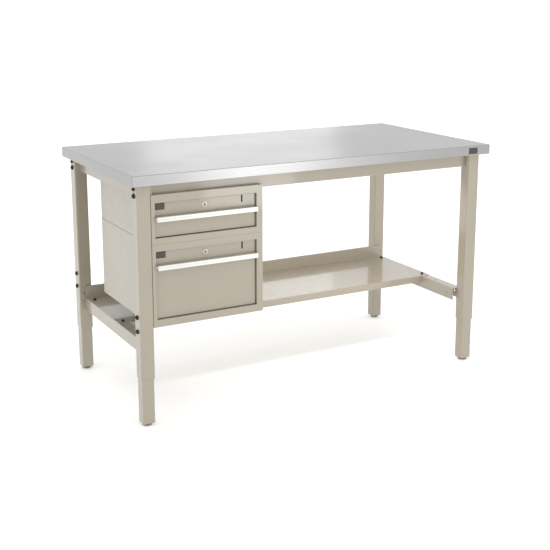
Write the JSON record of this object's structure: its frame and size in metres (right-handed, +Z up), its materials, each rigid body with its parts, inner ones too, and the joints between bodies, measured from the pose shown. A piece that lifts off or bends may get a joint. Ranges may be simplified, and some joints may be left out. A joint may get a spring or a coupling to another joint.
{
  "type": "workbench with drawers",
  "caption": "Steel workbench with a stainless square-edged worktop, height-adjustable legs, half-depth lower shelf and stacked lockable drawers under the left end.",
  "frame": {"origin": "on the floor, under the middle of the worktop", "axes": "+X to the right along the front edge, towards the open knee space; +Y to the back; +Z up"},
  "size_m": [1.524, 0.7628, 0.9144],
  "materials": {
    "stainless": "fine brushed, satin",
    "board": "raw particle board",
    "tan_paint": "semi-gloss powder coat",
    "black_steel": "black oxide, satin",
    "zinc": "zinc plated, satin",
    "aluminium": "satin anodised",
    "lock_metal": "satin nickel",
    "black_plastic": "smooth"
  },
  "bodies": {
    "frame": {"top_skin": "stainless", "top_core": "board", "top_badge": "black_plastic", "front_rail": "tan_paint", "rear_rail": "tan_paint", "hanger_channel": "tan_paint", "lower_shelf": "tan_paint", "housing_upper": "tan_paint", "housing_lower": "tan_paint", "upper_end_rail_left": "tan_paint", "upper_end_rail_right": "tan_paint", "lower_end_rail_left": "tan_paint", "lower_end_rail_right": "tan_paint", "shelf_bolt_1": "black_steel", "shelf_bolt_2": "black_steel", "shelf_bolt_3": "black_steel", "shelf_bolt_4": "black_steel", "upper_leg_fl": "tan_paint", "upper_leg_fr": "tan_paint", "upper_leg_bl": "tan_paint", "upper_leg_br": "tan_paint", "rail_bolts_fl": "black_steel", "rail_bolts_fr": "black_steel", "rail_bolts_bl": "black_steel", "rail_bolts_br": "black_steel", "clamp_bolts_fl": "black_steel", "clamp_bolts_fr": "black_steel", "clamp_bolts_bl": "black_steel", "clamp_bolts_br": "black_steel", "slide_outer_upper_left": "zinc", "slide_outer_upper_right": "zinc", "slide_outer_lower_left": "zinc", "slide_outer_lower_right": "zinc"},
    "drawer_upper": {"drawer_front_upper": "tan_paint", "drawer_box_upper": "tan_paint", "handle_upper": "aluminium", "label_plate_upper": "black_plastic", "lock_body_upper": "lock_metal", "slide_inner_upper_left": "zinc", "slide_inner_upper_right": "zinc"},
    "lock_upper": {"lock_plug_upper": "lock_metal", "lock_cam_upper": "zinc"},
    "drawer_lower": {"drawer_front_lower": "tan_paint", "drawer_box_lower": "tan_paint", "handle_lower": "aluminium", "label_plate_lower": "black_plastic", "lock_body_lower": "lock_metal", "slide_inner_lower_left": "zinc", "slide_inner_lower_right": "zinc"},
    "lock_lower": {"lock_plug_lower": "lock_metal", "lock_cam_lower": "zinc"},
    "leg_fl": {"lower_leg_fl": "tan_paint"},
    "glide_fl": {"foot_fl": "zinc"},
    "leg_fr": {"lower_leg_fr": "tan_paint"},
    "glide_fr": {"foot_fr": "zinc"},
    "leg_bl": {"lower_leg_bl": "tan_paint"},
    "glide_bl": {"foot_bl": "zinc"},
    "leg_br": {"lower_leg_br": "tan_paint"},
    "glide_br": {"foot_br": "zinc"}
  },
  "joints": [
    {"name": "drawer_upper_slide", "type": "slide", "parent": "frame", "child": "drawer_upper", "axis": [0, -1, 0], "range_m": [0, 0.38]},
    {"name": "lock_upper_turn", "type": "hinge", "parent": "drawer_upper", "child": "lock_upper", "pos_m": [-0.47976, -0.33909, 0.78562], "axis": [0, -1, 0], "range_deg": [0, 90]},
    {"name": "drawer_lower_slide", "type": "slide", "parent": "frame", "child": "drawer_lower", "axis": [0, -1, 0], "range_m": [0, 0.38]},
    {"name": "lock_lower_turn", "type": "hinge", "parent": "drawer_lower", "child": "lock_lower", "pos_m": [-0.47976, -0.33909, 0.61366], "axis": [0, -1, 0], "range_deg": [0, 90]},
    {"name": "leg_fl_height", "type": "slide", "parent": "frame", "child": "leg_fl", "axis": [0, 0, 1], "range_m": [0, 0.1524]},
    {"name": "glide_fl_level", "type": "slide", "parent": "leg_fl", "child": "glide_fl", "axis": [0, 0, -1], "range_m": [0, 0.012]},
    {"name": "leg_fr_height", "type": "slide", "parent": "frame", "child": "leg_fr", "axis": [0, 0, 1], "range_m": [0, 0.1524]},
    {"name": "glide_fr_level", "type": "slide", "parent": "leg_fr", "child": "glide_fr", "axis": [0, 0, -1], "range_m": [0, 0.012]},
    {"name": "leg_bl_height", "type": "slide", "parent": "frame", "child": "leg_bl", "axis": [0, 0, 1], "range_m": [0, 0.1524]},
    {"name": "glide_bl_level", "type": "slide", "parent": "leg_bl", "child": "glide_bl", "axis": [0, 0, -1], "range_m": [0, 0.012]},
    {"name": "leg_br_height", "type": "slide", "parent": "frame", "child": "leg_br", "axis": [0, 0, 1], "range_m": [0, 0.1524]},
    {"name": "glide_br_level", "type": "slide", "parent": "leg_br", "child": "glide_br", "axis": [0, 0, -1], "range_m": [0, 0.012]}
  ]
}
